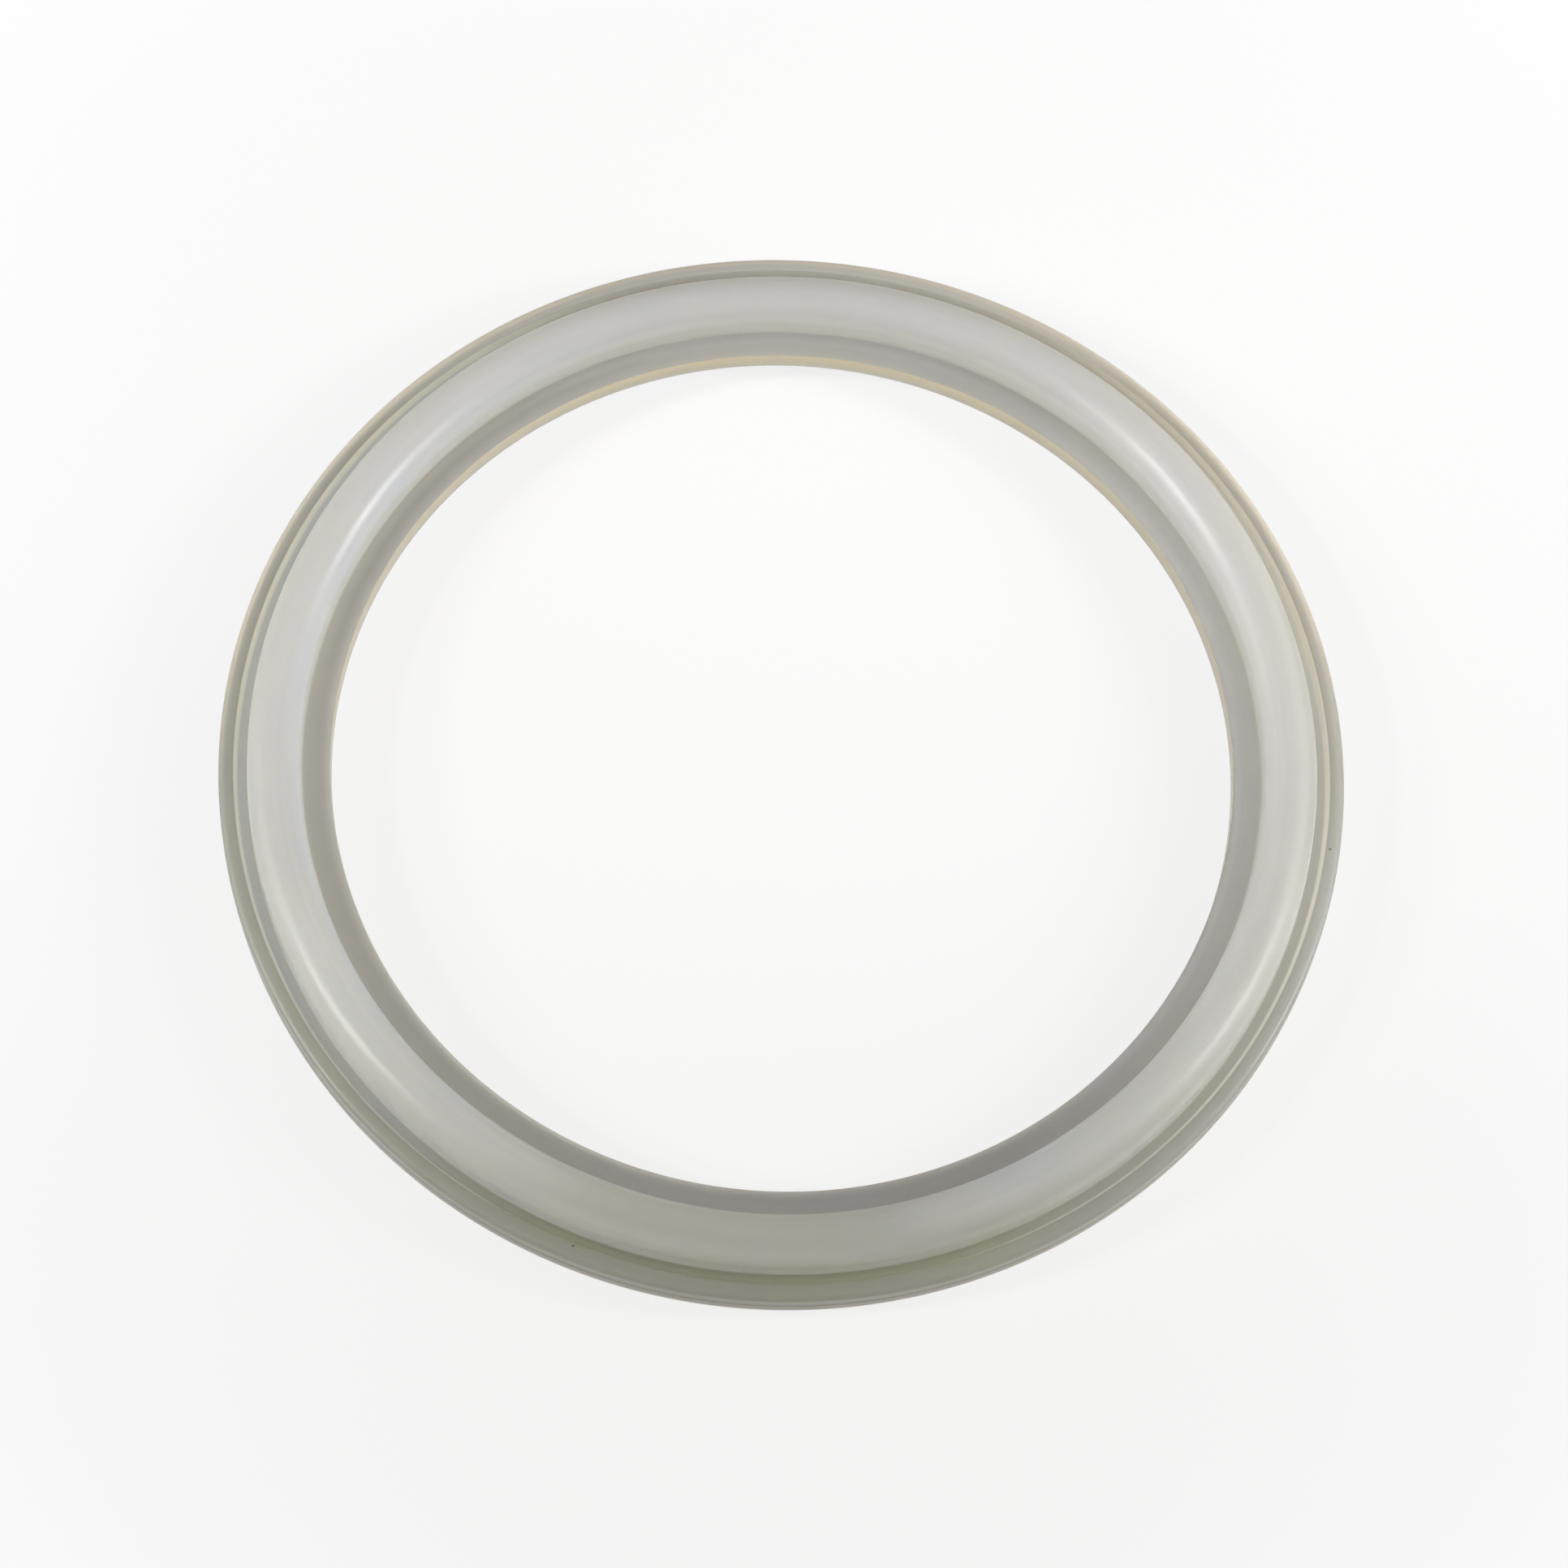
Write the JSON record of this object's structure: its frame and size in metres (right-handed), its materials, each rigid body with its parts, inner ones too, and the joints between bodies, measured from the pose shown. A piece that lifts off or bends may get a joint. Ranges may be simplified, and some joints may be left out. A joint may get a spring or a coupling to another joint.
{
  "type": "flanged sealing ring",
  "caption": "Soft translucent sealing ring with a flat inner flange, a tall round-topped bead on both faces and a low raised outer rim, clamped between two pipe ends.",
  "frame": {"origin": "centre of the bore, halfway through the ring's thickness", "axes": "+Z along the bore axis; both faces are alike, so either may be up; X and Y are any two directions across the ring"},
  "size_m": [0.091, 0.091, 0.0086],
  "materials": {
    "silicone": "smooth moulded translucent silicone, milky grey, satin gloss"
  },
  "bodies": {
    "root": {"seal_ring": "silicone"}
  },
  "joints": []
}
